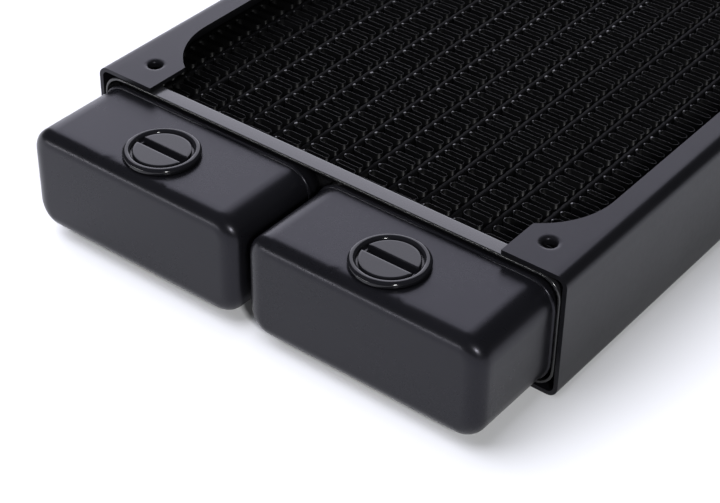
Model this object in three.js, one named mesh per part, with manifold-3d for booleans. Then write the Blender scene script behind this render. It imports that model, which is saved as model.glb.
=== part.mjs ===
// Liquid cooling radiator for two 120 mm fans: a copper tube-and-fin core between two sheet
// steel side panels, with two front tanks, one return tank and a threaded plug in each front tank.
// Millimetres. X is the width, Y runs from the port end to the return end, Z is up.
import * as THREE from 'three';
import { mergeVertices } from 'three/addons/utils/BufferGeometryUtils.js';
import Module from 'manifold-3d';

const wasm = await Module();
wasm.setup();

// Overall sizes
const WIDTH = 124;
const HEIGHT = 30;
const FAN_COUNT = 2;
const FAN_SIZE = 120;
const FAN_HOLE_SPACING = 105;
const PANEL_MARGIN = 0.5;
const PANEL_LENGTH = FAN_COUNT * FAN_SIZE + 2 * PANEL_MARGIN;
const FRONT_TANK_DEPTH = 24.5;
const RETURN_TANK_DEPTH = 11.5;
const TOTAL_LENGTH = FRONT_TANK_DEPTH + PANEL_LENGTH + RETURN_TANK_DEPTH;
const FRONT_END = FRONT_TANK_DEPTH - TOTAL_LENGTH / 2;
const REAR_END = FRONT_END + PANEL_LENGTH;
const JOINT_GAP = 0.3;

// Side panels: a C-shaped channel with gussets at the fan screw holes
const PANEL_SHEET = 1;
const PANEL_BEND_RADIUS = 2.5;
const FLANGE_EDGE = 55;
const GUSSET_EDGE = 46.5;
const WINDOW_RADIUS = 20;
const END_GUSSET = 11.2;
const WINDOW_START = 27.6;
const SCREW_HOLE_RADIUS = 1.3;
const SCREW_INSET = (FAN_SIZE - FAN_HOLE_SPACING) / 2 + PANEL_MARGIN;

// Headers: a tray with a slot for each tube and a flange turned towards the tank
const HEADER_SHEET = 1;
const HEADER_DEPTH = 3.8;
const HEADER_SETBACK = 0.6;
const HEADER_RADIUS = 5;

// Tanks: drawn boxes, open at the header, with a lip round the mouth
const TANK_HEIGHT = 24;
const TANK_WALL = 1;
const TANK_CORNER = 5.2;
const TANK_FILLET = 3.2;
const TANK_LIP = 0.8;
const TANK_FILLET_STEPS = 3;
const FRONT_TANK_WIDTH = 57;
const FRONT_TANK_CENTRE = 30.1;
const RETURN_TANK_WIDTH = 117.2;

// Core: flat tubes with a folded fin row in each space between them
const TUBE_COUNT = 14;
const TUBE_PITCH = 7.93;
const TUBE_THICKNESS = 2;
const TUBE_HEIGHT = 18.4;
const TUBE_WALL = 0.3;
const TUBE_IN_TANK = 1;
const SLOT_CLEARANCE = 0.2;
const FIN_HEIGHT = 17;
const FIN_FOLD = 8;
const FIN_SHEET = 0.5;
const CORE_PLATE = 1;

// Ports: a threaded collar above and below in each front tank, and a plug in the upper one
const PORT_INSET = 14;
const PORT_SIDES = 16;
const BORE_RADIUS = 6.62;
const COLLAR_RADIUS = 7.6;
const COLLAR_LENGTH = 5;
const COLLAR_SINK = 0.05;
const SHANK_RADIUS = 6.3;
const SHANK_LENGTH = 5.2;
const HEAD_RADIUS = 8.4;
const HEAD_TOP = 1.5;
const HEAD_LIFT = 0.3;
const HEAD_EDGE = 0.3;
const FACE_RADIUS = 6.3;
const FACE_DROP = 0.25;
const RECESS_RADIUS = 6.65;
const RECESS_DEPTH = 0.5;
const SCREWDRIVER_SLOT = { width: 1.95, depth: 1.9 };
const SEAL_RADIUS = 7.4;
const SEAL_SECTION = 0.38;
const SEAL_SIDES = 6;
const SEAL_GROOVE = { inner: 6.75, outer: 8.05, depth: 0.8 };

const MID_HEIGHT = HEIGHT / 2;
const CORE_START = HEADER_SETBACK + HEADER_DEPTH;
const CUT_ALLOWANCE = 1;
const ARC_STEPS = 2;

const paint = (name, color, roughness) => new THREE.MeshStandardMaterial({
  name, color, roughness, metalness: 0.1,
});
const MATERIALS = {
  panel: paint('panel_paint', 0x24252b, 0.42),
  tank: paint('tank_paint', 0x24252c, 0.4),
  header: paint('header_paint', 0x2c2d33, 0.38),
  core: paint('core_paint', 0x0c0c0d, 0.5),
  plug: paint('plug_black', 0x141519, 0.18),
  collar: new THREE.MeshStandardMaterial({
    name: 'collar_brass', color: 0xb08d4a, roughness: 0.35, metalness: 1,
  }),
  seal: new THREE.MeshStandardMaterial({
    name: 'seal_rubber', color: 0x101010, roughness: 0.8, metalness: 0,
  }),
};

function toSolid(geometry) {
  geometry.deleteAttribute('normal');
  geometry.deleteAttribute('uv');
  const merged = mergeVertices(geometry, 1e-4);
  return new wasm.Manifold(new wasm.Mesh({
    numProp: 3,
    vertProperties: new Float32Array(merged.attributes.position.array),
    triVerts: new Uint32Array(merged.index.array),
  }));
}

function toGeometry(solid) {
  const { vertProperties, triVerts } = solid.getMesh();
  const geometry = new THREE.BufferGeometry();
  geometry.setAttribute('position', new THREE.BufferAttribute(vertProperties, 3));
  geometry.setIndex(new THREE.BufferAttribute(triVerts, 1));
  geometry.computeVertexNormals();
  return geometry;
}

function part(name, solid, material) {
  const mesh = new THREE.Mesh(toGeometry(solid), material.clone());
  mesh.name = name;
  return mesh;
}

// A rectangle with round corners, centred on (x, y)
function roundedRectangle(x, y, width, height, radius, Outline = THREE.Shape) {
  const right = x + width / 2 - radius;
  const left = x - width / 2 + radius;
  const top = y + height / 2 - radius;
  const bottom = y - height / 2 + radius;
  return new Outline()
    .absarc(right, top, radius, 0, Math.PI / 2)
    .absarc(left, top, radius, Math.PI / 2, Math.PI)
    .absarc(left, bottom, radius, Math.PI, Math.PI * 1.5)
    .absarc(right, bottom, radius, Math.PI * 1.5, Math.PI * 2);
}

// Extrudes an outline drawn in (x, z) along Y, from y = start to y = end
function alongY(outline, start, end) {
  const geometry = new THREE.ExtrudeGeometry(outline, {
    depth: end - start, bevelEnabled: false, curveSegments: ARC_STEPS,
  });
  return geometry.rotateX(Math.PI / 2).translate(0, end, 0);
}

// Extrudes an outline drawn in (x, y) along Z, from z = start to z = end
function alongZ(outline, start, end) {
  const geometry = new THREE.ExtrudeGeometry(outline, {
    depth: end - start, bevelEnabled: false, curveSegments: ARC_STEPS,
  });
  return geometry.translate(0, 0, start);
}

// Turns a closed profile of [radius, height] points about the Z axis
function turned(profile) {
  const points = [...profile, profile[0]].map(([radius, height]) => new THREE.Vector2(radius, height));
  return toSolid(new THREE.LatheGeometry(points, PORT_SIDES).rotateX(Math.PI / 2));
}

// The channel's section, with its back at x = WIDTH / 2 and its flanges reaching in to GUSSET_EDGE
function channelSection() {
  const outer = WIDTH / 2;
  const bend = PANEL_BEND_RADIUS;
  const inner = bend - PANEL_SHEET;
  return new THREE.Shape()
    .absarc(outer - bend, bend, bend, -Math.PI / 2, 0)
    .absarc(outer - bend, HEIGHT - bend, bend, 0, Math.PI / 2)
    .lineTo(GUSSET_EDGE, HEIGHT)
    .lineTo(GUSSET_EDGE, HEIGHT - PANEL_SHEET)
    .absarc(outer - bend, HEIGHT - bend, inner, Math.PI / 2, 0, true)
    .absarc(outer - bend, bend, inner, 0, -Math.PI / 2, true)
    .lineTo(GUSSET_EDGE, PANEL_SHEET)
    .lineTo(GUSSET_EDGE, 0);
}

// The edge of one fan's window in the flange: straight, with a round stretch out of each gusset
function fanWindow(centre, halfLength) {
  const flat = FAN_SIZE / 2 + PANEL_MARGIN - WINDOW_START;
  const arcStart = Math.acos((halfLength - flat) / WINDOW_RADIUS);
  const arcCentre = FLANGE_EDGE - WINDOW_RADIUS;
  const inside = GUSSET_EDGE - CUT_ALLOWANCE;
  return new THREE.Shape()
    .absarc(arcCentre, centre - flat, WINDOW_RADIUS, arcStart - Math.PI / 2, 0)
    .absarc(arcCentre, centre + flat, WINDOW_RADIUS, 0, Math.PI / 2 - arcStart)
    .lineTo(inside, centre + halfLength)
    .lineTo(inside, centre - halfLength);
}

function sidePanel() {
  let panel = toSolid(alongY(channelSection(), 0, PANEL_LENGTH));
  const halfLength = FAN_SIZE / 2 + PANEL_MARGIN - END_GUSSET;
  for (let fan = 0; fan < FAN_COUNT; fan += 1) {
    const centre = PANEL_MARGIN + FAN_SIZE * (fan + 0.5);
    const cutter = alongZ(fanWindow(centre, halfLength), -CUT_ALLOWANCE, HEIGHT + CUT_ALLOWANCE);
    panel = panel.subtract(toSolid(cutter));
    for (const side of [-1, 1]) {
      const hole = new THREE.CylinderGeometry(SCREW_HOLE_RADIUS, SCREW_HOLE_RADIUS, HEIGHT * 2, 10);
      hole.rotateX(Math.PI / 2);
      hole.translate(FAN_HOLE_SPACING / 2, centre + side * FAN_HOLE_SPACING / 2, 0);
      panel = panel.subtract(toSolid(hole));
    }
  }
  return panel;
}

// A round-ended outline of the flat tube, grown by `grow` on every side
function tubeOutline(x, grow, Outline = THREE.Shape) {
  const radius = TUBE_THICKNESS / 2 + grow;
  const rise = (TUBE_HEIGHT - TUBE_THICKNESS) / 2;
  return new Outline()
    .absarc(x, MID_HEIGHT + rise, radius, 0, Math.PI)
    .absarc(x, MID_HEIGHT - rise, radius, Math.PI, Math.PI * 2);
}

const tubeX = (index) => (index - (TUBE_COUNT - 1) / 2) * TUBE_PITCH;

function header() {
  const inner = PANEL_SHEET + JOINT_GAP;
  const width = WIDTH - 2 * inner;
  const height = HEIGHT - 2 * inner;
  const tray = toSolid(alongY(
    roundedRectangle(0, MID_HEIGHT, width, height, HEADER_RADIUS), HEADER_SETBACK, CORE_START));
  const hollow = toSolid(alongY(
    roundedRectangle(0, MID_HEIGHT, width - 2 * HEADER_SHEET, height - 2 * HEADER_SHEET,
      HEADER_RADIUS - HEADER_SHEET),
    HEADER_SETBACK - CUT_ALLOWANCE, CORE_START - HEADER_SHEET));
  let solid = tray.subtract(hollow);
  for (let index = 0; index < TUBE_COUNT; index += 1) {
    const slot = tubeOutline(tubeX(index), SLOT_CLEARANCE);
    solid = solid.subtract(toSolid(alongY(slot, 0, CORE_START + CUT_ALLOWANCE)));
  }
  return solid;
}

// A box with a round outline and a filleted closed end at y = -depth, open past y = mouth
function drawnBox(x, width, height, depth, corner, fillet, mouth) {
  const outline = roundedRectangle(x, MID_HEIGHT, width, height, corner);
  const straight = 2 * depth;
  const geometry = new THREE.ExtrudeGeometry(outline, {
    depth: straight, curveSegments: ARC_STEPS, bevelSegments: TANK_FILLET_STEPS,
    bevelThickness: fillet, bevelSize: fillet, bevelOffset: -fillet,
  });
  geometry.rotateX(Math.PI / 2).translate(0, straight + fillet - depth, 0);
  return toSolid(geometry).trimByPlane([0, -1, 0], -mouth);
}

function tank(x, width, depth, portHoles) {
  const mouth = CORE_START - HEADER_SHEET - JOINT_GAP;
  const outer = drawnBox(x, width, TANK_HEIGHT, depth, TANK_CORNER, TANK_FILLET, mouth);
  const lipOutline = roundedRectangle(x, MID_HEIGHT, width + 2 * TANK_LIP, TANK_HEIGHT + 2 * TANK_LIP,
    TANK_CORNER + TANK_LIP);
  const lip = toSolid(alongY(lipOutline, -TANK_LIP, 0));
  const inner = drawnBox(x, width - 2 * TANK_WALL, TANK_HEIGHT - 2 * TANK_WALL, depth - TANK_WALL,
    TANK_CORNER - TANK_WALL, TANK_FILLET - TANK_WALL, mouth + CUT_ALLOWANCE);
  let solid = outer.add(lip).subtract(inner);
  for (const holeX of portHoles) {
    const radius = COLLAR_RADIUS + JOINT_GAP;
    const hole = new THREE.CylinderGeometry(radius, radius, HEIGHT * 2, PORT_SIDES);
    hole.rotateX(Math.PI / 2).translate(holeX, -PORT_INSET, 0);
    solid = solid.subtract(toSolid(hole));
  }
  return solid;
}

function tube(x) {
  const outline = tubeOutline(x, 0);
  outline.holes.push(tubeOutline(x, -TUBE_WALL, THREE.Path));
  const start = CORE_START - HEADER_SHEET - TUBE_IN_TANK;
  return toSolid(alongY(outline, start, PANEL_LENGTH - start));
}

// A strip folded back and forth between two tubes, with straight runs and a fold every FIN_FOLD
function finRow(x) {
  const reach = (TUBE_PITCH - TUBE_THICKNESS) / 2 - JOINT_GAP - FIN_SHEET / 2;
  const start = CORE_START + JOINT_GAP;
  const end = PANEL_LENGTH - start;
  const folds = Math.round((end - start) / FIN_FOLD);
  const edge = (shift) => Array.from({ length: folds + 1 }, (_, fold) => new THREE.Vector2(
    x + shift + (fold % 2 ? reach : -reach), start + (end - start) * fold / folds));
  const outline = new THREE.Shape([...edge(FIN_SHEET / 2), ...edge(-FIN_SHEET / 2).reverse()]);
  return toSolid(alongZ(outline, MID_HEIGHT - FIN_HEIGHT / 2, MID_HEIGHT + FIN_HEIGHT / 2));
}

// A plain side of the core, outside the last fin row
function corePlate(side) {
  const start = CORE_START + JOINT_GAP;
  const length = PANEL_LENGTH - 2 * start;
  const x = tubeX(TUBE_COUNT - 1) + TUBE_PITCH - TUBE_THICKNESS / 2 + CORE_PLATE / 2;
  const plate = new THREE.BoxGeometry(CORE_PLATE, length, TUBE_HEIGHT);
  return toSolid(plate.translate(side * x, PANEL_LENGTH / 2, MID_HEIGHT));
}

// Threaded collar of a port, with the tank's face at height 0
function portCollar() {
  return turned([
    [BORE_RADIUS, -COLLAR_LENGTH],
    [COLLAR_RADIUS, -COLLAR_LENGTH],
    [COLLAR_RADIUS, -COLLAR_SINK],
    [BORE_RADIUS, -COLLAR_SINK],
  ]);
}

// Plug with its seat at height 0: a rim, a slotted face inside it and a shank below
function plug() {
  const face = HEAD_TOP - FACE_DROP;
  const body = toSolid(new THREE.LatheGeometry([
    [0, -SHANK_LENGTH],
    [SHANK_RADIUS, -SHANK_LENGTH],
    [SHANK_RADIUS, HEAD_LIFT],
    [SEAL_GROOVE.inner, HEAD_LIFT],
    [SEAL_GROOVE.inner, HEAD_LIFT + SEAL_GROOVE.depth],
    [SEAL_GROOVE.outer, HEAD_LIFT + SEAL_GROOVE.depth],
    [SEAL_GROOVE.outer, HEAD_LIFT],
    [HEAD_RADIUS, HEAD_LIFT],
    [HEAD_RADIUS, HEAD_TOP - HEAD_EDGE],
    [HEAD_RADIUS - HEAD_EDGE, HEAD_TOP],
    [RECESS_RADIUS, HEAD_TOP],
    [RECESS_RADIUS, HEAD_TOP - RECESS_DEPTH],
    [FACE_RADIUS, HEAD_TOP - RECESS_DEPTH],
    [FACE_RADIUS, face],
    [0, face],
  ].map(([radius, height]) => new THREE.Vector2(radius, height)), PORT_SIDES).rotateX(Math.PI / 2));
  const slot = new THREE.BoxGeometry(
    2 * FACE_RADIUS, SCREWDRIVER_SLOT.width, 2 * SCREWDRIVER_SLOT.depth);
  return body.subtract(toSolid(slot.translate(0, 0, face)));
}

// Round seal in the groove under the plug's head
function plugSeal() {
  const height = HEAD_LIFT + SEAL_SECTION / 2;
  return turned(Array.from({ length: SEAL_SIDES }, (_, index) => {
    const angle = 2 * Math.PI * (index + 0.5) / SEAL_SIDES;
    return [SEAL_RADIUS + SEAL_SECTION * Math.cos(angle), height + SEAL_SECTION * Math.sin(angle)];
  }));
}

function numbered(prefix, index) {
  return `${prefix}_${String(index + 1).padStart(2, '0')}`;
}

// Everything in the core group is drawn with y = 0 at the panels' port end
const core = new THREE.Group();
core.position.y = FRONT_END;

for (const [name, turn] of [['left_side_panel', Math.PI], ['right_side_panel', 0]]) {
  const panel = part(name, sidePanel(), MATERIALS.panel);
  panel.rotation.z = turn;
  panel.position.y = turn ? PANEL_LENGTH : 0;
  core.add(panel);
}
for (const [name, turn] of [['front_header', 0], ['rear_header', Math.PI]]) {
  const tray = part(name, header(), MATERIALS.header);
  tray.rotation.z = turn;
  tray.position.y = turn ? PANEL_LENGTH : 0;
  core.add(tray);
}
for (const [name, side] of [['left', -1], ['right', 1]]) {
  const x = side * FRONT_TANK_CENTRE;
  const solid = tank(x, FRONT_TANK_WIDTH, FRONT_TANK_DEPTH, [x]);
  core.add(part(`${name}_front_tank`, solid, MATERIALS.tank));
}
const returnTank = part(
  'return_tank', tank(0, RETURN_TANK_WIDTH, RETURN_TANK_DEPTH, []), MATERIALS.tank);
returnTank.rotation.z = Math.PI;
returnTank.position.y = PANEL_LENGTH;
core.add(returnTank);

for (let index = 0; index < TUBE_COUNT; index += 1) {
  core.add(part(numbered('tube', index), tube(tubeX(index)), MATERIALS.core));
}
for (let index = 0; index <= TUBE_COUNT; index += 1) {
  core.add(part(numbered('fin_row', index), finRow(tubeX(index - 0.5)), MATERIALS.core));
}
for (const [name, side] of [['left_core_plate', -1], ['right_core_plate', 1]]) {
  core.add(part(name, corePlate(side), MATERIALS.core));
}

// Each port group has its origin on the axis, at the tank's face, with +Z out of the port
const tankTop = MID_HEIGHT + TANK_HEIGHT / 2;
for (const [side, x] of [['left', -FRONT_TANK_CENTRE], ['right', FRONT_TANK_CENTRE]]) {
  const upper = new THREE.Group();
  upper.position.set(x, -PORT_INSET, tankTop);
  upper.add(part(`${side}_upper_port_collar`, portCollar(), MATERIALS.collar));
  upper.add(part(`${side}_plug`, plug(), MATERIALS.plug));
  upper.add(part(`${side}_plug_seal`, plugSeal(), MATERIALS.seal));
  const lower = new THREE.Group();
  lower.position.set(x, -PORT_INSET, HEIGHT - tankTop);
  lower.rotation.x = Math.PI;
  lower.add(part(`${side}_lower_port_collar`, portCollar(), MATERIALS.collar));
  core.add(upper, lower);
}

const radiator = new THREE.Group();
radiator.add(core);

export default radiator;
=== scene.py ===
"""Studio scene of a slim liquid cooling radiator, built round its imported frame.

Shapes are worked out in millimetres as arrays of points and turned into metres when a mesh is made.
"""
import math

import bmesh
import bpy
import numpy as np
from mathutils import Matrix, Vector


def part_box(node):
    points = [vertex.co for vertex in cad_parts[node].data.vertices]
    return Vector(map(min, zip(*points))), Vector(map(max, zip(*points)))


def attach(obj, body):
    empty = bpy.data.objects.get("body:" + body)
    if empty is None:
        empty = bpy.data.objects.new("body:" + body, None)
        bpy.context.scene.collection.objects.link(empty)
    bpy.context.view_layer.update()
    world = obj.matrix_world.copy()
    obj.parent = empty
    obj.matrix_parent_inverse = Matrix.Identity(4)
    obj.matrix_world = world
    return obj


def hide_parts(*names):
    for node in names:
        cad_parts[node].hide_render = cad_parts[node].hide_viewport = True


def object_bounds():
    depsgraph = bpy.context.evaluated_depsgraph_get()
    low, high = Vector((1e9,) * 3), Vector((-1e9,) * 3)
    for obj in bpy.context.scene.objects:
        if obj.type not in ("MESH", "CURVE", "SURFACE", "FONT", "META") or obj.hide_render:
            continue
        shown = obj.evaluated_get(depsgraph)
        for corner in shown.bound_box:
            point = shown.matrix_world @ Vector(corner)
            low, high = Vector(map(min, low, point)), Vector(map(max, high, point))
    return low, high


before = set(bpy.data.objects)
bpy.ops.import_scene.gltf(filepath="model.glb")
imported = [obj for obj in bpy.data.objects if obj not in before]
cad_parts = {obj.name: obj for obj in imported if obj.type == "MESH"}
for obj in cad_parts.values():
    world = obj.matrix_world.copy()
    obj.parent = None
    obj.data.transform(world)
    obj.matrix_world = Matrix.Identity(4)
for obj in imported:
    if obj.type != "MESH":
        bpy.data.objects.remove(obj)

CAD_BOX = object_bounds()

MM = 0.001
BODY = "radiator"
TURN = 2 * math.pi


def box_mm(node):
    """Lowest and highest corner of a CAD node, in millimetres."""
    low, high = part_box(node)
    return np.array(low) / MM, np.array(high) / MM


# Sizes taken from the frame
PANEL_LOW, PANEL_HIGH = box_mm("right_side_panel")
HEADER_LOW, HEADER_HIGH = box_mm("front_header")
TUBE_LOW, TUBE_HIGH = box_mm("tube_01")
FIN_LOW, FIN_HIGH = box_mm("fin_row_01")
FRONT_END, REAR_END = PANEL_LOW[1], PANEL_HIGH[1]
PANEL_LENGTH = REAR_END - FRONT_END
CORE_CENTRE = (FRONT_END + REAR_END) / 2
HALF_WIDTH, HEIGHT = PANEL_HIGH[0], PANEL_HIGH[2]
MID_HEIGHT = HEIGHT / 2

# Side panels. A block is the square of grid lines that a hole's rings are fitted into.
SHEET = 1.0
BEND = 2.5
PANEL_EDGE_ROUND = 0.36
FLANGE_EDGE = 55.0
GUSSET_EDGE = PANEL_LOW[0]
END_GUSSET = 11.2
WINDOW_START = 27.6
WINDOW_RADIUS = 20.0
FAN_SIZE = 120.0
FAN_HOLES = 105.0
PANEL_MARGIN = (PANEL_LENGTH - 2 * FAN_SIZE) / 2
HALF_WEB = MID_HEIGHT - BEND
WEB_AND_BEND = HALF_WEB + BEND * math.pi / 2
FULL_FLANGE = HALF_WIDTH - BEND - GUSSET_EDGE
SCREW_BLOCK = 3.2
# Radius and depth down the dimple and the hole of a screw
SCREW_PROFILE = ((2.6, 0), (2.35, 0.03), (2.1, 0.09), (1.88, 0.17),
                 (1.7, 0.28), (1.58, 0.45), (1.5, 0.8), (1.48, 1.6))

# Headers. HEADER_TO_END is the gap from a flange's edge to the panels' end.
HEADER_WALL = 0.8
HEADER_BEND = 0.9
HEADER_CORNER = 5.0
HEADER_EDGE_ROUND = 0.33
HEADER_TO_END = 0.05
HEADER_FLANGE_LINE = 0.3
PLATE_REACH = 11.5
PLATE_LINE = 8.7
SLOT_BLOCK_GAP = 0.5
# Clearance round a tube and depth; the collar's depth is negative, as it stands out towards the core
SLOT_PROFILE = ((0.45, 0), (0.25, -0.12), (0.02, -0.6))

# Tanks. Against the frame's they are wider by the spreads, and their bottoms are lower by the drop.
TANK_CORNER = 5.7
TANK_FILLET = 3.2
TANK_FILLET_ACROSS = 4.2
TANK_LIP = 0.8
LIP_PROUD = 0.45
LIP_REACH = TANK_LIP * 0.62
LIP_TO_WALL = 1.4
TANK_SPREAD = 0.4
TANK_SPREAD_OUTSIDE = 0.7
TANK_DROP = 0.5
TANK_WALL = 1.0
TANK_IN_TRAY = 3.1
TANK_SIDE_LINE = 0.4
TANK_END_RIM = 0.5
PORT_HOLE = 7.7
PORT_BLOCK = 9.2
PORT_PROFILE = ((PORT_HOLE + 0.15, 0), (PORT_HOLE, 0.12))

# Core. At its faces, tubes end TUBE_SUNK short of the frame's and fins stand FIN_PROUD past them.
TUBE_PITCH = 7.93
TUBE_COUNT = 14
TUBE_SUNK = 0.5
TUBE_RADIUS = (TUBE_HIGH[0] - TUBE_LOW[0]) / 2
TUBE_RISE = (TUBE_HIGH[2] - TUBE_LOW[2]) / 2 - TUBE_RADIUS - TUBE_SUNK
TUBE_WALL = 0.3
FIN_PROUD = 0.5
FIN_PITCH = 3.2
FIN_SHEET = 0.12
FIN_CLEARANCE = 0.08
FIN_END_GAP = 0.4
FIN_WANDER = 0.15
BEAD_RADII = (0.46, 0.62, 0.42)
BEAD_SUNK = 0.1
PLATE_WALL = 0.8
PLATE_EDGE_ROUND = 0.1

# Ports
THREAD_PITCH = 1.337
THREAD_ROOT = 5.75
THREAD_RIDGE = 0.5
THREAD_FADE = 0.6
THREAD_BELOW_HEAD = 0.3
BORE_RADIUS = 6.75
BORE_RIDGE = -0.4
COLLAR_RADIUS = 7.62
COLLAR_ROUND = 0.2
SLOT_HALF_WIDTH = 0.98
DISC_RADIUS = 6.28
DISC_CHAMFER = 0.28
DISC_EDGE = 0.08
DISC_TOP_LINE = 0.3
DISC_BELOW_RIM = 0.25
DISC_INTO_WELL = 0.05
HEAD_DEPTH = 1.2
WELL_DEPTH = 2.15
WELL_RADIUS = 6.68
CROWN = 0.7
HEAD_ROUND = 0.15
GROOVE_DEPTH = 0.75
GROOVE_INSIDE = 6.75
GROOVE_OUTSIDE = 8.05
SEAL_RADIUS = 7.4
SEAL_BULGE = 0.04
RING_SEGMENTS = 96


# ---------------------------------------------------------------- surfaces

def cells(rows, columns, closed=False):
    """Quads between neighbours in a grid stored row by row; closed joins the last column to the first."""
    index = np.arange(rows * columns).reshape(rows, columns)
    if closed:
        index = np.column_stack((index, index[:, :1]))
    quads = np.stack((index[:-1, :-1], index[:-1, 1:], index[1:, 1:], index[1:, :-1]), -1)
    return quads.reshape(-1, 4)


def steps(*stretches):
    """Rising values: each stretch is (start, end, parts), and neighbours share their ends."""
    parts = [np.linspace(start, end, count + 1) for start, end, count in stretches]
    return np.unique(np.round(np.concatenate(parts), 6))


def hole_rings(a, b, hole):
    """Rings from the edge of a hole's block of lines to the hole's own edge, then down its profile.

    A ring point lies at the profile's radius from the hole's spine, a line of half-length `rise`
    along b, in the direction of the block's edge point. Depth is measured below the blank.
    """
    a0, a1, b0, b1 = hole["block"]
    across = a[(a > a0 - 1e-6) & (a < a1 + 1e-6)]
    along = b[(b > b0 - 1e-6) & (b < b1 + 1e-6)]
    edge = np.concatenate((
        np.column_stack((np.full(len(along), a0), along))[:-1],
        np.column_stack((across, np.full(len(across), b1)))[:-1],
        np.column_stack((np.full(len(along), a1), along[::-1]))[:-1],
        np.column_stack((across[::-1], np.full(len(across), b0)))[:-1]))
    centre = np.array(hole["centre"])
    rise = hole.get("rise", 0.0)
    spine = np.column_stack((np.full(len(edge), centre[0]),
                             np.clip(edge[:, 1], centre[1] - rise, centre[1] + rise)))
    away = edge - spine
    away /= np.linalg.norm(away, axis=1)[:, None]
    radius, depth = np.array(hole["profile"], float).T
    mouth = spine + away * radius[0]
    flat = [np.column_stack((edge + (mouth - edge) * t, np.zeros(len(edge)))) for t in (0, 0.4, 0.75)]
    down = [np.column_stack((spine + away * r, np.full(len(edge), d))) for r, d in zip(radius, depth)]
    rings = flat + down
    return np.concatenate(rings), cells(len(rings), len(edge), closed=True)


def blank(a, b, holes=()):
    """A flat grid over the lines a and b, as points (a, b, depth), with rings fitted round each hole."""
    across, along = np.meshgrid(a, b, indexing="ij")
    points = np.stack((across, along, np.zeros_like(across)), -1).reshape(-1, 3)
    quads = cells(len(a), len(b))
    middle = points[quads].mean(1)
    keep = np.ones(len(quads), bool)
    for hole in holes:
        a0, a1, b0, b1 = hole["block"]
        keep &= ~((middle[:, 0] > a0) & (middle[:, 0] < a1) & (middle[:, 1] > b0) & (middle[:, 1] < b1))
    return [(points, quads[keep])] + [hole_rings(a, b, hole) for hole in holes]


def shaped(shells, place):
    """Applies a map from blank points to space to every shell."""
    return [(place(points), quads) for points, quads in shells]


def turned(profile, centre, segments=RING_SEGMENTS):
    """A profile of (radius, height) points turned about the vertical through centre."""
    radius, height = np.array(profile, float).T
    angle = np.linspace(0, TURN, segments, endpoint=False)
    points = np.stack((centre[0] + radius[:, None] * np.cos(angle),
                       centre[1] + radius[:, None] * np.sin(angle),
                       centre[2] + height[:, None] + 0 * angle), -1)
    return points.reshape(-1, 3), cells(len(radius), segments, closed=True)


def half_turn(shells):
    """Turns shells by half a turn about the vertical through the core's centre."""
    return [(np.column_stack((-p[:, 0], 2 * CORE_CENTRE - p[:, 1], p[:, 2])), q) for p, q in shells]


def piece(name, shells, material, nodes=(), body=BODY, wall=0.0, bevel=0.0, flip=False, smooth=40):
    """Welds shells into one mesh in metres; wall thickens it inwards and bevel rounds its sharp edges."""
    offsets = np.cumsum([0] + [len(points) for points, _ in shells])
    points = np.concatenate([points for points, _ in shells]) * MM
    quads = np.concatenate([quads + start for (_, quads), start in zip(shells, offsets)])
    if flip:
        quads = quads[:, ::-1]
    mesh = bpy.data.meshes.new(name)
    mesh.from_pydata(points, [], quads.tolist())
    work = bmesh.new()
    work.from_mesh(mesh)
    bmesh.ops.remove_doubles(work, verts=work.verts, dist=2e-6)
    bmesh.ops.dissolve_degenerate(work, edges=work.edges, dist=1e-6)
    if not wall:
        bmesh.ops.recalc_face_normals(work, faces=work.faces)
    for face in work.faces:
        face.smooth = True
    work.to_mesh(mesh)
    work.free()
    mesh.set_sharp_from_angle(angle=math.radians(smooth))
    mesh.materials.append(material)
    made = bpy.data.objects.new(name, mesh)
    bpy.context.scene.collection.objects.link(made)
    if wall:
        solid = made.modifiers.new("wall", "SOLIDIFY")
        solid.thickness, solid.offset, solid.use_even_offset = wall * MM, -1, False
    if bevel:
        rounding = made.modifiers.new("edges", "BEVEL")
        rounding.width, rounding.segments = bevel * MM, 3
        rounding.limit_method, rounding.angle_limit = "ANGLE", math.radians(50)
        rounding.harden_normals = True
    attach(made, body)
    if nodes:
        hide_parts(*nodes)
    return made


# ---------------------------------------------------------------- side panels

def flange_edge(y):
    """Distance of the flange's edge from the middle: a gusset at each end of a fan, an arc, then straight."""
    local = (y - PANEL_MARGIN) % FAN_SIZE
    local = np.where((y < PANEL_MARGIN) | (y > PANEL_LENGTH - PANEL_MARGIN), 0, local)
    from_end = np.minimum(local, FAN_SIZE - local) + PANEL_MARGIN
    height = np.clip(WINDOW_START - from_end, 0, WINDOW_RADIUS)
    arc = FLANGE_EDGE - WINDOW_RADIUS + np.sqrt(WINDOW_RADIUS ** 2 - height ** 2)
    return np.where(from_end <= END_GUSSET + 1e-6, GUSSET_EDGE, arc)


def fold(points):
    """Folds the panel's flat blank into a channel.

    a runs round the section from the lower flange's edge, where it is negative, to the upper one's:
    within the web it is a height, then an arc length round the bend, then a length along the widest
    flange, scaled to the flange's width at that place.
    """
    a, y, depth = points.T
    side, reach = np.sign(a), np.abs(a)
    bend_angle = np.clip((reach - HALF_WEB) / BEND, 0, math.pi / 2)
    flange = np.clip(reach - WEB_AND_BEND, 0, None)
    share = flange / FULL_FLANGE
    width = HALF_WIDTH - BEND - flange_edge(y)
    x = HALF_WIDTH - BEND + BEND * np.cos(bend_angle) - share * width
    z = MID_HEIGHT + side * (np.minimum(reach, HALF_WEB) + BEND * np.sin(bend_angle))
    return np.column_stack((x - depth * np.cos(bend_angle), FRONT_END + y,
                            z - depth * side * np.sin(bend_angle)))


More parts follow.
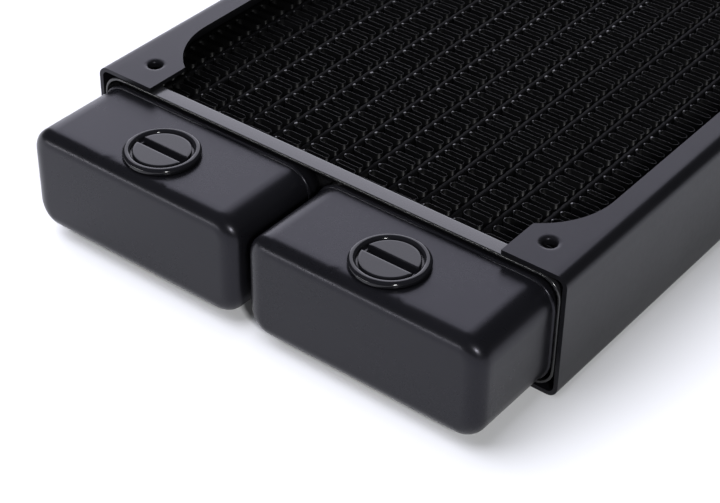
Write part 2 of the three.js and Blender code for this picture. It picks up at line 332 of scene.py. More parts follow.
def side_panel():
    """The panel's blank: rows along its length, columns round its section, with the screw holes."""
    hole_at = WEB_AND_BEND + HALF_WIDTH - BEND - FAN_HOLES / 2
    upper = steps((0, HALF_WEB, 3), (HALF_WEB, WEB_AND_BEND, 8),
                  (WEB_AND_BEND, hole_at - SCREW_BLOCK, 2),
                  (hole_at - SCREW_BLOCK, hole_at + SCREW_BLOCK, 8),
                  (hole_at + SCREW_BLOCK, WEB_AND_BEND + FULL_FLANGE, 2))
    across = np.unique(np.concatenate((-upper, upper)))
    rows, holes = [0.0], []
    for fan in range(2):
        start = PANEL_MARGIN + fan * FAN_SIZE
        for end, way in ((start, 1), (start + FAN_SIZE, -1)):
            screw = end + way * (FAN_SIZE - FAN_HOLES) / 2
            arc = end + way * (END_GUSSET - PANEL_MARGIN), end + way * (WINDOW_START - PANEL_MARGIN)
            rows += list(np.linspace(screw - SCREW_BLOCK, screw + SCREW_BLOCK, 9))
            rows += list(np.linspace(*arc, 13))
            for side in (-1, 1):
                middle = side * hole_at
                holes.append({"centre": (middle, screw), "profile": SCREW_PROFILE,
                              "block": (middle - SCREW_BLOCK, middle + SCREW_BLOCK,
                                        screw - SCREW_BLOCK, screw + SCREW_BLOCK)})
        rows += list(np.linspace(start + WINDOW_START, start + FAN_SIZE - WINDOW_START, 7))
    rows.append(PANEL_LENGTH)
    along = np.unique(np.round(rows, 6))
    return shaped(blank(across, along, holes), fold)


# ---------------------------------------------------------------- rounded outlines

def outline(half_x, half_z, corner, a):
    """Point and outward direction on a rounded rectangle, at perimeter distance a from its left middle,
    first up, then across the top, down the right and back along the bottom."""
    rise, run, arc = half_z - corner, 2 * (half_x - corner), corner * math.pi / 2
    half = 2 * rise + run + 2 * arc
    second = a >= half - 1e-9
    t = np.where(second, a - half, a)
    first_angle = np.clip((t - rise) / corner, 0, math.pi / 2)
    last_angle = np.clip((t - rise - arc - run) / corner, 0, math.pi / 2)
    angle = math.pi - first_angle - last_angle
    x = -half_x + corner + np.clip(t - rise - arc, 0, run) + corner * np.cos(angle)
    up = np.clip(t, 0, rise) - np.clip(t - rise - 2 * arc - run, 0, rise)
    z = up + corner * np.sin(angle)
    sign = np.where(second, -1, 1)
    return sign * x, sign * z, sign * np.cos(angle), sign * np.sin(angle)


def outline_lines(half_x, half_z, corner, top, corner_parts=8, side_parts=3):
    """Perimeter distances for a closed outline whose top and bottom hold the lines `top` (x values)."""
    rise, run, arc = half_z - corner, 2 * (half_x - corner), corner * math.pi / 2
    half = 2 * rise + run + 2 * arc
    one = np.concatenate((
        np.linspace(0, rise, side_parts), np.linspace(rise, rise + arc, corner_parts + 1),
        rise + arc + run / 2 + np.asarray(top),
        np.linspace(rise + arc + run, rise + 2 * arc + run, corner_parts + 1),
        np.linspace(rise + 2 * arc + run, half, side_parts)))
    return np.unique(np.round(np.concatenate((one, one + half)), 6))


# ---------------------------------------------------------------- tanks

def tank_rows(depth, port_inset):
    """Distances from the mouth plane along the wall and round the front fillet."""
    straight = depth - TANK_FILLET
    end = straight + TANK_FILLET * math.pi / 2
    lip = TANK_LIP / 2 - LIP_REACH * np.cos(np.linspace(0, math.pi, 13))
    stretches = [(LIP_TO_WALL, straight, 6), (straight, end, 10)]
    if port_inset:
        stretches = [(LIP_TO_WALL, port_inset - PORT_BLOCK, 2), (port_inset - PORT_BLOCK, straight, 14),
                     (straight, port_inset + PORT_BLOCK, 3), (port_inset + PORT_BLOCK, end, 8)]
    in_tray = [-TANK_IN_TRAY, -1.0, -0.3]
    return np.unique(np.round(np.concatenate((in_tray, lip, steps(*stretches))), 6))


def tank_place(low, high, depth, mouth):
    """A map from blank points (perimeter, distance from the mouth, depth) to a filleted box with a lip.

    The outline moves in by fillet * (1 - cos t) as the wall turns through t towards the front, and
    out by a half ellipse at the lip. The lower half drops in proportion to its depth. A tank to one
    side of the middle takes its outside spread on its outer side, and a full-width one on both.
    """
    half_x = (high[0] - low[0]) / 2 - TANK_LIP + TANK_SPREAD + TANK_SPREAD_OUTSIDE / 2
    half_z = (high[2] - low[2]) / 2 - TANK_LIP
    centre = (low[0] + high[0]) / 2
    if abs(centre) > 1:
        centre += math.copysign(TANK_SPREAD_OUTSIDE / 2, centre)

    def place(points):
        a, b, _ = points.T
        x, z, nx, nz = outline(half_x, half_z, TANK_CORNER, a)
        turn = np.clip((b - (depth - TANK_FILLET)) / TANK_FILLET, 0, math.pi / 2)
        bulge = np.clip(1 - ((b - TANK_LIP / 2) / LIP_REACH) ** 2, 0, None)
        out = LIP_PROUD * np.sqrt(bulge)
        inset = 1 - np.cos(turn)
        y = np.minimum(b, depth - TANK_FILLET) + TANK_FILLET * np.sin(turn)
        return np.column_stack((centre + x + nx * (out - TANK_FILLET_ACROSS * inset),
                                mouth - y, MID_HEIGHT + z + nz * (out - TANK_FILLET * inset)
                                - TANK_DROP * np.clip(-z / half_z, 0, 1)))
    return place, half_x, half_z


def tank(low, high, depth, mouth, port_inset=None):
    """Walls with a lip, a filleted front and a flat end, and a hole above and below at the port."""
    place, half_x, half_z = tank_place(low, high, depth, mouth)
    flat = half_x - TANK_CORNER
    top = steps((-flat, -flat + TANK_SIDE_LINE, 1), (-flat + TANK_SIDE_LINE, -PORT_BLOCK, 3),
                (-PORT_BLOCK, PORT_BLOCK, 16),
                (PORT_BLOCK, flat - TANK_SIDE_LINE, 3), (flat - TANK_SIDE_LINE, flat, 1))
    around = outline_lines(half_x, half_z, TANK_CORNER, top)
    along = tank_rows(depth, port_inset)
    quarter = half_z - TANK_CORNER + TANK_CORNER * math.pi / 2 + flat
    holes = []
    if port_inset:
        for middle in (quarter, quarter + around[-1] / 2):
            holes.append({"centre": (middle, port_inset), "profile": PORT_PROFILE,
                          "block": (middle - PORT_BLOCK, middle + PORT_BLOCK,
                                    port_inset - PORT_BLOCK, port_inset + PORT_BLOCK)})
    around, along = snapped(around, along, holes)
    shells = shaped(blank(around, along, holes), place)
    rim = place(np.column_stack((around[:-1], np.full(len(around) - 1, along[-1]), 0 * around[:-1])))
    centre = np.array([(rim[:, 0].min() + rim[:, 0].max()) / 2, rim[0, 1], MID_HEIGHT])
    _, _, nx, nz = outline(half_x, half_z, TANK_CORNER, around[:-1])
    inner = rim - TANK_END_RIM * np.column_stack((nx, 0 * nx, nz))
    from_centre = np.clip(rim[:, 0] - centre[0], -half_x + half_z, half_x - half_z)
    spine = np.column_stack((centre[0] + from_centre, rim[:, 1], np.full(len(rim), MID_HEIGHT)))
    quads = cells(3, len(rim), closed=True)[:, ::-1]
    return shells + [(np.concatenate((rim, inner, spine)), quads)]


def snapped(around, along, holes):
    """Adds each block's own edges to the lines, so that a block starts and ends on one."""
    for hole in holes:
        a0, a1, b0, b1 = hole["block"]
        around = np.concatenate((around[np.abs(around[:, None] - [a0, a1]).min(1) > 1e-4], [a0, a1]))
        along = np.concatenate((along[np.abs(along[:, None] - [b0, b1]).min(1) > 1e-4], [b0, b1]))
    return np.unique(around), np.unique(along)


# ---------------------------------------------------------------- headers

def header():
    """A tray: its plate has a slot for each tube, and a bend and a flange run round it."""
    half_x = HEADER_HIGH[0]
    half_z = (HEADER_HIGH[2] - HEADER_LOW[2]) / 2
    slot_half = TUBE_PITCH / 2 - SLOT_BLOCK_GAP
    profile = [(TUBE_RADIUS + clearance, depth) for clearance, depth in SLOT_PROFILE]
    slots, lines = [], []
    for index in range(TUBE_COUNT):
        x = (index - (TUBE_COUNT - 1) / 2) * TUBE_PITCH
        lines += list(np.linspace(x - slot_half, x + slot_half, 5))
        block = np.round((x - slot_half, x + slot_half, -PLATE_REACH, PLATE_REACH), 6)
        slots.append({"centre": (x, 0.0), "rise": TUBE_RISE, "profile": profile, "block": tuple(block)})
    a = np.unique(np.round(lines, 6))
    b = np.concatenate((np.linspace(-PLATE_REACH, PLATE_REACH, 13), [-PLATE_LINE, PLATE_LINE]))
    b = np.unique(np.round(b, 6))
    face = HEADER_HIGH[1]
    plate = shaped(blank(a, b, slots),
                   lambda p: np.column_stack((p[:, 0], face - p[:, 2], MID_HEIGHT + p[:, 1])))
    straight_x, straight_z = half_x - HEADER_CORNER, half_z - HEADER_CORNER
    inner, outer, normal = [], [], []
    corner = np.linspace(0, math.pi / 2, 7)
    sides = ((a / a[-1] * straight_x, a, 1, False),
             (b / b[-1] * straight_z, b, 1, True),
             (a[::-1] / a[-1] * straight_x, a[::-1], -1, False),
             (b[::-1] / b[-1] * straight_z, b[::-1], -1, True))
    for number, (far, near, sign, upright) in enumerate(sides):
        first = math.pi / 2 * (number + 3) % TURN
        for f, n in zip(far, near):
            point = (n, -sign * b[-1]) if not upright else (sign * a[-1], n)
            edge = (f, -sign * half_z) if not upright else (sign * half_x, f)
            inner.append(point)
            outer.append(edge)
            normal.append((0, -sign) if not upright else (sign, 0))
        for t in corner[1:-1]:
            angle = first + t
            direction = np.array((math.cos(angle), math.sin(angle)))
            middle = np.sign(direction) * (straight_x, straight_z)
            inner.append(tuple(np.sign(direction) * (a[-1], b[-1])))
            outer.append(tuple(middle + HEADER_CORNER * direction))
            normal.append(tuple(direction))
    inner, outer, normal = (np.array(v) for v in (inner, outer, normal))
    rings = [np.column_stack((inner[:, 0], np.full(len(inner), face), MID_HEIGHT + inner[:, 1]))]
    for t in np.linspace(0, math.pi / 2, 7):
        move = HEADER_BEND * (1 - math.sin(t))
        ring = outer - normal * move
        y = face - HEADER_BEND * (1 - math.cos(t))
        rings.append(np.column_stack((ring[:, 0], np.full(len(ring), y), MID_HEIGHT + ring[:, 1])))
    for y in (HEADER_LOW[1] + HEADER_FLANGE_LINE, FRONT_END + HEADER_TO_END):
        rings.append(np.column_stack((outer[:, 0], np.full(len(outer), y), MID_HEIGHT + outer[:, 1])))
    return plate + [(np.concatenate(rings), cells(len(rings), len(inner), closed=True))]


# ---------------------------------------------------------------- core

def tube(x):
    """A round-ended section carried along the core."""
    arc = np.linspace(0, math.pi, 9)
    across = np.concatenate((TUBE_RADIUS * np.cos(arc), -TUBE_RADIUS * np.cos(arc)))
    up = np.concatenate((TUBE_RISE + TUBE_RADIUS * np.sin(arc), -TUBE_RISE - TUBE_RADIUS * np.sin(arc)))
    along = np.linspace(TUBE_LOW[1], TUBE_HIGH[1], 13)
    points = np.broadcast_arrays(x + across[None, :], along[:, None], MID_HEIGHT + up[None, :])
    points = np.stack(points, -1)
    return [(points.reshape(-1, 3), cells(len(along), len(across), closed=True))]


def fin_path(x, seed):
    """A folded strip seen from above: straight runs between the tubes and a half circle at each fold.

    Folds turn round at -reach and +reach by turns. Their spacing wanders a little, as in stretched
    fin stock. Gives the strip's points and the places of its folds on the low side.
    """
    random = np.random.default_rng(seed)
    reach = TUBE_PITCH / 2 - TUBE_RADIUS - FIN_CLEARANCE
    length = FIN_HIGH[1] - FIN_LOW[1]
    runs = int(length / (FIN_PITCH / 2)) - 1
    gaps = 1 + FIN_WANDER * random.standard_normal(runs)
    reached = np.concatenate(([0], np.cumsum(gaps)))
    run_y = FIN_LOW[1] + FIN_END_GAP + (length - 2 * FIN_END_GAP) * reached / gaps.sum()
    path = []
    for k in range(runs):
        side = 1 if k % 2 else -1
        low, high = run_y[k], run_y[k + 1]
        radius = (high - low) / 2
        turn = np.linspace(-math.pi / 2, math.pi / 2, 6)
        path.append(np.column_stack((x + side * (reach - radius + radius * np.cos(turn)),
                                     (low + high) / 2 + radius * np.sin(turn))))
    starts = run_y[:-1:2]
    folds = (starts + run_y[1::2][:len(starts)]) / 2
    return np.concatenate(path), np.column_stack((np.full(len(folds), x - reach), folds))


def beads(places, seed):
    """Brazing beads where the folds meet a tube, at both edges of the strip.

    Each is a six-sided ellipsoid of BEAD_RADII times a seeded size: the row's, between 0.4 and 1,
    times the bead's own, between 0.6 and 1.1.
    """
    random = np.random.default_rng(seed + 100)
    edges = (FIN_HIGH[2] + FIN_PROUD - BEAD_SUNK, FIN_LOW[2] - FIN_PROUD + BEAD_SUNK)
    places = np.concatenate([np.column_stack((places, np.full(len(places), z))) for z in edges])
    size = (0.4 + 0.6 * random.random()) * random.uniform(0.6, 1.1, len(places))
    angle = np.linspace(0, TURN, 6, endpoint=False)
    lift = np.linspace(-math.pi / 2, math.pi / 2, 5)
    across, along, up = BEAD_RADII
    ball = np.stack((across * np.cos(lift)[:, None] * np.cos(angle),
                     along * np.cos(lift)[:, None] * np.sin(angle),
                     up * np.sin(lift)[:, None] + 0 * angle), -1).reshape(-1, 3)
    points = places[:, None, :] + size[:, None, None] * ball[None]
    quads = cells(len(lift), len(angle), closed=True)
    first = np.arange(len(places)) * len(ball)
    return points.reshape(-1, 3), (quads[None] + first[:, None, None]).reshape(-1, 4)


def fin_row(x, seed):
    """The folded strip carried from the lower edge of the core to the upper one."""
    path, _ = fin_path(x, seed)
    levels = np.array([FIN_LOW[2] - FIN_PROUD, MID_HEIGHT, FIN_HIGH[2] + FIN_PROUD])
    points = np.stack(np.broadcast_arrays(path[None, :, 0], path[None, :, 1], levels[:, None]), -1)
    return [(points.reshape(-1, 3), cells(len(levels), len(path)))]


def plate_shell(low, high):
    """The plain outer face of a core side plate."""
    y = np.linspace(low[1], high[1], 9)
    z = np.linspace(low[2], high[2], 5)
    x = low[0] if low[0] < 0 else high[0]
    yy, zz = np.meshgrid(y, z, indexing="ij")
    points = np.stack((np.full_like(yy, x), yy, zz), -1).reshape(-1, 3)
    quads = cells(len(y), len(z))
    return [(points, quads if x < 0 else quads[:, ::-1])]


# ---------------------------------------------------------------- ports

def threaded(root, ridge, low, high, centre):
    """A right-hand thread: root + ridge * flattened triangle(height / pitch - angle / turn).

    The triangle runs from 1 to -1 and back over a pitch and is clipped to 0..1, and the ridge fades
    out over THREAD_FADE of a pitch at both ends.
    """
    angle = np.linspace(0, TURN, RING_SEGMENTS, endpoint=False)
    height = np.arange(low, high + 1e-6, THREAD_PITCH / 10)
    height[-1] = high
    phase = (height[:, None] / THREAD_PITCH - angle[None, :] / TURN) % 1
    shape = np.clip(1.15 - 1.3 * np.abs(2 * phase - 1), 0, 1)
    fade = np.clip(np.minimum(height - low, high - height) / (THREAD_FADE * THREAD_PITCH), 0, 1)[:, None]
    wave = root + ridge * shape * fade
    points = np.stack((centre[0] + wave * np.cos(angle), centre[1] + wave * np.sin(angle),
                       centre[2] + height[:, None] + 0 * angle), -1)
    return points.reshape(-1, 3), cells(len(height), RING_SEGMENTS, closed=True)


def rounded(points, radius, parts=4):
    """A profile whose listed corners are cut back by `radius` and joined by a smooth curve."""
    points = np.array(points, float)
    out = [points[0]]
    for before, corner, after in zip(points, points[1:], points[2:]):
        first, last = before - corner, after - corner
        cut = min(radius, np.linalg.norm(first) / 2, np.linalg.norm(last) / 2)
        p = corner + first / np.linalg.norm(first) * cut
        q = corner + last / np.linalg.norm(last) * cut
        for t in np.linspace(0, 1, parts + 1):
            out.append((1 - t) ** 2 * p + 2 * t * (1 - t) * corner + t ** 2 * q)
    out.append(points[-1])
    return np.array(out)


def disc_half(centre, side, top, bottom):
    """Half of the slotted disc: a round outline cut off beside the slot, chamfered at the top."""

    def loop(inset, height):
        radius, start = DISC_RADIUS - inset, SLOT_HALF_WIDTH + inset
        angle = math.asin(start / radius)
        arc = np.linspace(angle, math.pi - angle, 49)
        chord = np.linspace(-radius * math.cos(angle), radius * math.cos(angle), 17)[1:-1]
        x = np.concatenate((radius * np.cos(arc), chord))
        y = np.concatenate((radius * np.sin(arc), np.full(len(chord), start)))
        return np.column_stack((centre[0] + side * x, centre[1] + side * y,
                                np.full(len(x), centre[2] + height)))
    loops = [loop(0, bottom), loop(0, top - DISC_CHAMFER), loop(DISC_EDGE, top - DISC_EDGE),
             loop(DISC_CHAMFER, top), loop(DISC_CHAMFER + DISC_TOP_LINE, top)]
    count = len(loops[0])
    middle = loops[-1].mean(0)
    loops.append(np.tile(middle, (count, 1)))
    loops.insert(0, np.tile([middle[0], middle[1], centre[2] + bottom], (count, 1)))
    return np.concatenate(loops), cells(len(loops), count, closed=True)


def plug(low, high):
    """Head with a round rim, a well for the slotted disc, a groove for the seal and a threaded shank."""
    centre = np.array([(low[0] + high[0]) / 2, (low[1] + high[1]) / 2, 0])
    foot, top = low[2], high[2]
    head, well = top - HEAD_DEPTH, top - WELL_DEPTH
    groove = head + GROOVE_DEPTH
    radius = (high[0] - low[0]) / 2
    arc = np.linspace(math.pi, 0, 13)
    crown = list(zip((radius + WELL_RADIUS) / 2 + (radius - WELL_RADIUS) / 2 * np.cos(arc),
                     top - CROWN + CROWN * np.sin(arc)))
    rim = rounded([(0, well), (WELL_RADIUS, well), *crown, (radius, head),
                   (GROOVE_OUTSIDE, head), (GROOVE_OUTSIDE, groove), (GROOVE_INSIDE, groove),
                   (GROOVE_INSIDE, head), (THREAD_ROOT, head), (THREAD_ROOT, head - THREAD_BELOW_HEAD)],
                  HEAD_ROUND)
    shank = threaded(THREAD_ROOT, THREAD_RIDGE, foot, head - THREAD_BELOW_HEAD, centre)
    end = turned([(0, foot), (THREAD_ROOT, foot)], centre)
    halves = [disc_half(centre, side, top - DISC_BELOW_RIM, well - DISC_INTO_WELL) for side in (-1, 1)]
    return [turned(rim, centre), shank, end] + halves


def collar(low, high):
    """A threaded bush with its outer corners rounded."""
    centre = np.array([(low[0] + high[0]) / 2, (low[1] + high[1]) / 2, 0])
    bottom, top = low[2], high[2]
    skin = rounded([(BORE_RADIUS, bottom), (COLLAR_RADIUS, bottom),
                    (COLLAR_RADIUS, top), (BORE_RADIUS, top)], COLLAR_ROUND)
    return [turned(skin, centre), threaded(BORE_RADIUS, BORE_RIDGE, bottom, top, centre)]


def seal(low, high):
    """A round ring under the plug's head."""
    centre = np.array([(low[0] + high[0]) / 2, (low[1] + high[1]) / 2, (low[2] + high[2]) / 2])
    section = (high[2] - low[2]) / 2 + SEAL_BULGE
    angle = np.linspace(0, TURN, 17)
    ring = np.column_stack((SEAL_RADIUS + section * np.cos(angle), section * np.sin(angle)))
    return [turned(ring, centre)]


# ---------------------------------------------------------------- finishes

class Term:
    """A value inside a material. Arithmetic on it makes the nodes that work the result out."""

    def __init__(self, tree, socket):
        self.tree, self.socket = tree, socket

    def feed(self, entry, value):
        if isinstance(value, Term):
            self.tree.links.new(value.socket, entry)
        else:
            entry.default_value = value

    def math(self, operation, *others, swap=False):
        node = self.tree.nodes.new("ShaderNodeMath")
        node.operation = operation
        values = (*others, self) if swap else (self, *others)
        for entry, value in zip(node.inputs, values):
            self.feed(entry, value)
        return Term(self.tree, node.outputs[0])

    def __add__(self, other):
        return self.math("ADD", other)

    def __mul__(self, other):
        return self.math("MULTIPLY", other)

    def __sub__(self, other):
        return self.math("SUBTRACT", other)

    def __rsub__(self, other):
        return self.math("SUBTRACT", other, swap=True)

    def __truediv__(self, other):
        return self.math("DIVIDE", other)

    def __rtruediv__(self, other):
        return self.math("DIVIDE", other, swap=True)

    __radd__, __rmul__ = __add__, __mul__

    def limited(self, low=0.0, high=1.0):
        return self.math("MAXIMUM", low).math("MINIMUM", high)


class Finish:
    """A material on one Principled shader: fixed inputs are given by name, and varying ones are linked."""

    def __init__(self, name, **fixed):
        self.material = bpy.data.materials.new(name)
        self.material.use_nodes = True
        self.tree = self.material.node_tree
        self.shader = self.tree.nodes["Principled BSDF"]
        for entry, value in fixed.items():
            self.shader.inputs[entry.replace("_", " ")].default_value = value
        self.place = self.node("TexCoord", output="Object")

    def node(self, kind, output=0, inputs=None, **settings):
        """Adds a node, sets or links its inputs, and gives one of its outputs."""
        node = self.tree.nodes.new("ShaderNode" + kind)
        for setting, value in settings.items():
            setattr(node, setting, value)
        for entry, value in (inputs or {}).items():
            Term(self.tree, None).feed(node.inputs[entry], value)
        return Term(self.tree, node.outputs[output])

    def grain(self, size, detail=2.0, roughness=0.5):
        """Noise between 0 and 1, with features of about `size` metres."""
        return self.node("TexNoise", inputs={"Vector": self.place, "Scale": 1 / size, "Detail": detail,
                                             "Roughness": roughness})

    def link(self, entry, term):
        self.tree.links.new(term.socket, self.shader.inputs[entry])

    def colours(self, amount, first, second):
        """Base colour between two colours, by amount."""
        self.link("Base Color", self.node("Mix", output=2, data_type="RGBA", inputs={
            0: amount, 6: (*first, 1), 7: (*second, 1)}))

    def relief(self, height, depth):
        """Bump whose height of 1 stands for `depth` metres."""
        self.link("Normal", self.node("Bump", inputs={
            "Height": height, "Strength": 1.0, "Distance": depth}))


def paint(name, first, second, roughness, peel, depth, specular=0.5, tint=(1, 1, 1)):
    """Sprayed black enamel: a faint mottle, gloss that wanders, and an orange peel."""
    finish = Finish(name, Specular_IOR_Level=specular, Specular_Tint=(*tint, 1))
    broad, fine = finish.grain(0.019, 3.0), finish.grain(peel, 2.5)
    finish.colours(broad, first, second)
    finish.link("Roughness", (roughness + 0.10 * (broad - 0.5) + 0.08 * (fine - 0.5)).limited(0.05, 1))
    finish.relief(fine + 0.35 * finish.grain(peel / 3.4, 2.0), depth)
    return finish.material


def brass():
    """Turned brass, slightly dulled."""
    finish = Finish("brass", Metallic=1.0)
    dull = finish.grain(0.003, 4.0)
    finish.colours(dull, (0.60, 0.42, 0.17), (0.38, 0.27, 0.12))
    finish.link("Roughness", 0.22 + 0.25 * dull)
    finish.relief(finish.grain(0.0004), 0.00001)
    return finish.material


def rubber():
    """Matt black rubber with a bloom."""
    finish = Finish("rubber", Specular_IOR_Level=0.35)
    bloom = finish.grain(0.0012, 4.0)
    finish.colours(bloom, (0.010, 0.010, 0.011), (0.028, 0.028, 0.030))
    finish.link("Roughness", 0.62 + 0.2 * bloom)
    finish.relief(bloom, 0.00003)
    return finish.material


def pale_floor():
    """Smooth matt board, nearly white and a little cool."""
    finish = Finish("pale floor", Specular_IOR_Level=0.1)
    drift = finish.grain(0.6, 2.0)
    finish.colours(drift, (0.86, 0.865, 0.88), (0.89, 0.895, 0.905))
    finish.link("Roughness", 0.7 + 0.1 * drift)
    finish.relief(finish.grain(0.002, 3.0), 0.000004)
    return finish.material


# ---------------------------------------------------------------- the radiator

# Every finish: two colours, roughness, size of the orange peel, its depth, strength of reflection
COOL = (0.88, 0.87, 1.0)
panel_paint = paint("satin_panel_paint", (0.0038, 0.0038, 0.0045), (0.0060, 0.0060, 0.0070),
                    0.33, 0.0011, 0.000004, 0.21, COOL)
tank_paint = paint("satin_tank_paint", (0.0036, 0.0036, 0.0045), (0.0057, 0.0057, 0.0070),
                   0.29, 0.0012, 0.000003, 0.235, COOL)
header_paint = paint("header_paint", (0.0100, 0.0100, 0.011), (0.0140, 0.0140, 0.015),
                     0.20, 0.0010, 0.000002, 0.54)
tube_paint = paint("dull_tube_paint", (0.0005, 0.0005, 0.0005), (0.0010, 0.0010, 0.0012),
                   0.60, 0.0006, 0.000006, 0.06)
fin_paint = paint("thin_fin_paint", (0.0005, 0.0005, 0.0005), (0.0010, 0.0010, 0.0012),
                  0.42, 0.0006, 0.000004, 0.17)
bead_paint = paint("bead_paint", (0.0030, 0.0030, 0.003), (0.0060, 0.0060, 0.006),
                   0.30, 0.0006, 0.000004, 0.80)
plug_finish = paint("glossy_plug_finish", (0.0050, 0.0050, 0.006), (0.0080, 0.0080, 0.010),
                    0.11, 0.0016, 0.000002, 0.28)
brass_finish, rubber_finish = brass(), rubber()

right = side_panel()
for side, shells in (("right", right), ("left", half_turn(right))):
    piece(f"{side}_folded_side_panel", shells, panel_paint, [f"{side}_side_panel"],
          wall=SHEET, bevel=PANEL_EDGE_ROUND)

front = header()
for end, shells in (("front", front), ("rear", half_turn(front))):
    piece(f"{end}_pressed_header", shells, header_paint, [f"{end}_header"],
          wall=HEADER_WALL, bevel=HEADER_EDGE_ROUND)

for side in ("left", "right"):
    low, high = box_mm(f"{side}_front_tank")
    plug_low, plug_high = box_mm(f"{side}_plug")
    inset = FRONT_END - (plug_low[1] + plug_high[1]) / 2
    piece(f"{side}_front_water_tank", tank(low, high, FRONT_END - low[1], FRONT_END, inset),
          tank_paint, [f"{side}_front_tank"], wall=TANK_WALL)
    piece(f"{side}_slotted_plug", plug(plug_low, plug_high), plug_finish, [f"{side}_plug"],
          body=f"{side}_plug", smooth=32)
    piece(f"{side}_plug_ring_seal", seal(*box_mm(f"{side}_plug_seal")), rubber_finish,
          [f"{side}_plug_seal"], body=f"{side}_seal")
    for level in ("upper", "lower"):
        piece(f"{side}_{level}_threaded_collar", collar(*box_mm(f"{side}_{level}_port_collar")),
              brass_finish, [f"{side}_{level}_port_collar"], smooth=35)
    piece(f"{side}_core_side_plate", plate_shell(*box_mm(f"{side}_core_plate")), tube_paint,
          [f"{side}_core_plate"], wall=PLATE_WALL, bevel=PLATE_EDGE_ROUND)

# The return tank is shaped at the front and turned to the rear, so its box is turned first
box_low, box_high = box_mm("return_tank")
low = [-box_high[0], 2 * CORE_CENTRE - box_high[1], box_low[2]]
high = [-box_low[0], 2 * CORE_CENTRE - box_low[1], box_high[2]]
piece("return_water_tank", half_turn(tank(low, high, FRONT_END - low[1], FRONT_END)),
      tank_paint, ["return_tank"], wall=TANK_WALL)

for number in range(1, TUBE_COUNT + 1):
    low, high = box_mm(f"tube_{number:02d}")
    piece(f"flat_tube_{number:02d}", tube((low[0] + high[0]) / 2), tube_paint,
          [f"tube_{number:02d}"], wall=TUBE_WALL, flip=True)
for number in range(1, TUBE_COUNT + 2):
    low, high = box_mm(f"fin_row_{number:02d}")
    middle = (low[0] + high[0]) / 2
    _, folds = fin_path(middle, number)
    piece(f"fin_row_beads_{number:02d}", [beads(folds, number)], bead_paint)
    piece(f"folded_fin_row_{number:02d}", fin_row(middle, number), fin_paint,
          [f"fin_row_{number:02d}"], wall=FIN_SHEET)


# ---------------------------------------------------------------- studio

# The floor, in metres
FLOOR = CAD_BOX[0].z - 0.0001
FLOOR_FLAT = 2.2
FLOOR_REACH = 4.0
FLOOR_CURVE = 0.16

# The camera, in degrees and millimetres
CAMERA_AZIMUTH, CAMERA_ELEVATION, CAMERA_ROLL = (math.radians(a) for a in (37.589, 36.997, 0.857))
CAMERA_LENS = 94.1
CAMERA_OFFSET = np.array((9.07, 5.61, 406.5))
AIM = np.array((0, FRONT_END + TANK_LIP, 0))


def floor():
    """A round board just under the lowest point.

    It is flat out to FLOOR_FLAT, and beyond that it rises by FLOOR_CURVE * (radius - FLOOR_FLAT)^2.
    """
    radius = np.concatenate((np.linspace(0.01, FLOOR_FLAT, 12), np.linspace(2.3, FLOOR_REACH, 12)))
    angle = np.linspace(0, TURN, RING_SEGMENTS, endpoint=False)
    rise = FLOOR_CURVE * np.clip(radius - FLOOR_FLAT, 0, None) ** 2
    points = np.stack((radius[:, None] * np.cos(angle), radius[:, None] * np.sin(angle),
                       FLOOR + rise[:, None] + 0 * angle), -1).reshape(-1, 3)
    centre = len(points)
    quads = cells(len(radius), len(angle), closed=True).tolist()
    fan = [(centre, i, (i + 1) % len(angle)) for i in range(len(angle))]
    mesh = bpy.data.meshes.new("floor")
    mesh.from_pydata(np.vstack((points, (0, 0, FLOOR))), [], [q[::-1] for q in quads] + fan)
    mesh.materials.append(pale_floor())
    made = bpy.data.objects.new("floor", mesh)
    bpy.context.scene.collection.objects.link(made)


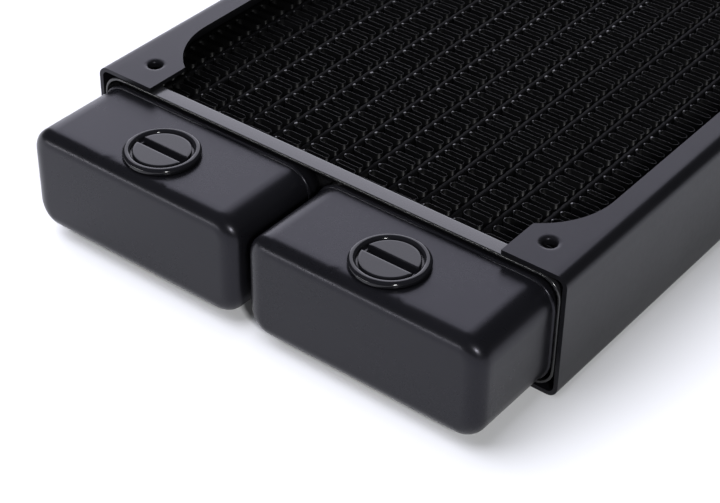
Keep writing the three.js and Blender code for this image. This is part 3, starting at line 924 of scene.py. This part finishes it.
def camera():
    """Looks down on the tanks: its axes come from azimuth, elevation and roll about the aim point."""
    a, e, r = CAMERA_AZIMUTH, CAMERA_ELEVATION, CAMERA_ROLL
    back = np.array((math.sin(a) * math.cos(e), -math.cos(a) * math.cos(e), math.sin(e)))
    level = np.cross((0, 0, 1), back)
    level /= np.linalg.norm(level)
    upward = np.cross(back, level)
    axes = np.stack((math.cos(r) * level + math.sin(r) * upward,
                     math.cos(r) * upward - math.sin(r) * level, back))
    seen = bpy.data.cameras.new("camera")
    seen.lens, seen.sensor_width = CAMERA_LENS, 36
    seen.clip_start, seen.clip_end = 0.01, 30
    made = bpy.data.objects.new("camera", seen)
    matrix = np.eye(4)
    matrix[:3, :3] = axes.T
    matrix[:3, 3] = (AIM + CAMERA_OFFSET @ axes) * MM
    made.matrix_world = Matrix(matrix)
    bpy.context.scene.collection.objects.link(made)
    bpy.context.scene.camera = made


def soft_light(name, direction, distance, size, radiance, colour=(1, 1, 1), mirrored=True):
    """A rectangular soft light facing the aim point; radiance is that of its own face."""
    direction = Vector(direction).normalized()
    lamp = bpy.data.lights.new(name, "AREA")
    lamp.shape, lamp.size, lamp.size_y = "RECTANGLE", *size
    lamp.energy = radiance * math.pi * size[0] * size[1]
    lamp.color = colour
    made = bpy.data.objects.new(name, lamp)
    made.location = Vector(AIM * MM) + direction * distance
    made.rotation_mode = "QUATERNION"
    made.rotation_quaternion = direction.to_track_quat("Z", "Y")
    made.visible_glossy = mirrored
    bpy.context.scene.collection.objects.link(made)


floor()
camera()
soft_light("large box behind", (-0.52, 0.60, 0.40), 1.5, (1.15, 1.45), 2.45, (0.95, 0.94, 1.08))
soft_light("overhead fill", (-0.38, -0.21, 1.0), 1.15, (1.25, 1.25), 3.7, (0.965, 0.97, 1.06),
           mirrored=False)
soft_light("low strip", (-0.49, -0.85, 0.10), 1.6, (1.1, 0.10), 20.0)
soft_light("small key", (0.66, -0.51, 0.55), 1.4, (0.17, 0.17), 130.0)

world = bpy.data.worlds.new("studio")
world.use_nodes = True
world.node_tree.nodes["Background"].inputs["Color"].default_value = (0.9, 0.95, 1.0, 1)
world.node_tree.nodes["Background"].inputs["Strength"].default_value = 0.06
bpy.context.scene.world = world
bpy.context.scene.view_settings.view_transform = "Standard"
